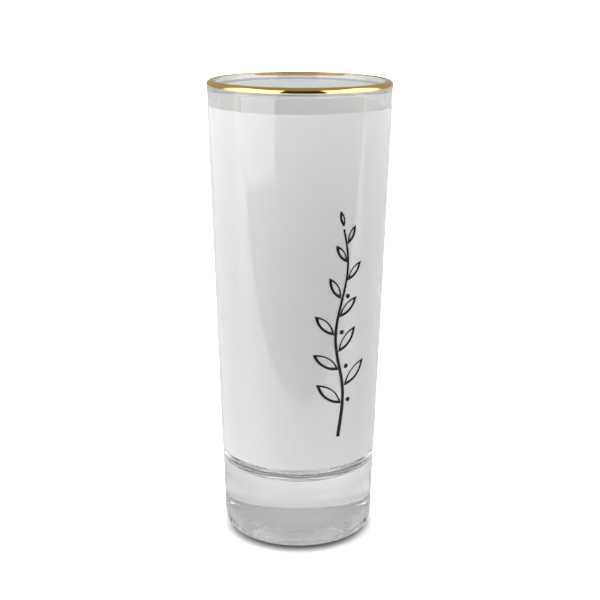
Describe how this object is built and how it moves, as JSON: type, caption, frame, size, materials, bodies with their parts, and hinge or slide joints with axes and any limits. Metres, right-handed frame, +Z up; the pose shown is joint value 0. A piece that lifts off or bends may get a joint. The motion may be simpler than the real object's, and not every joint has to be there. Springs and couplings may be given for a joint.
{
  "type": "shot glass",
  "caption": "Tall tapered shot glass with a thick clear base, a gilded lip and a glossy white sleeve that carries a black leaf sprig print.",
  "frame": {"origin": "centre of the foot ring, on the plane the glass stands on", "axes": "+Z up along the glass's axis; -Y is the front; the print is turned 29 degrees from the front towards +X"},
  "size_m": [0.0414, 0.0414, 0.105],
  "materials": {
    "clear_glass": "clear, fire-polished",
    "fired_gold": "bright fired gold, mirror-like",
    "white_gloss_coating": "glossy white polymer coating",
    "black_ink": "black dye print under the gloss of the coating"
  },
  "bodies": {
    "root": {"glass_body": "clear_glass", "rim_gilding": "fired_gold", "white_coating": "white_gloss_coating", "printed_sprig": "black_ink"}
  },
  "joints": []
}
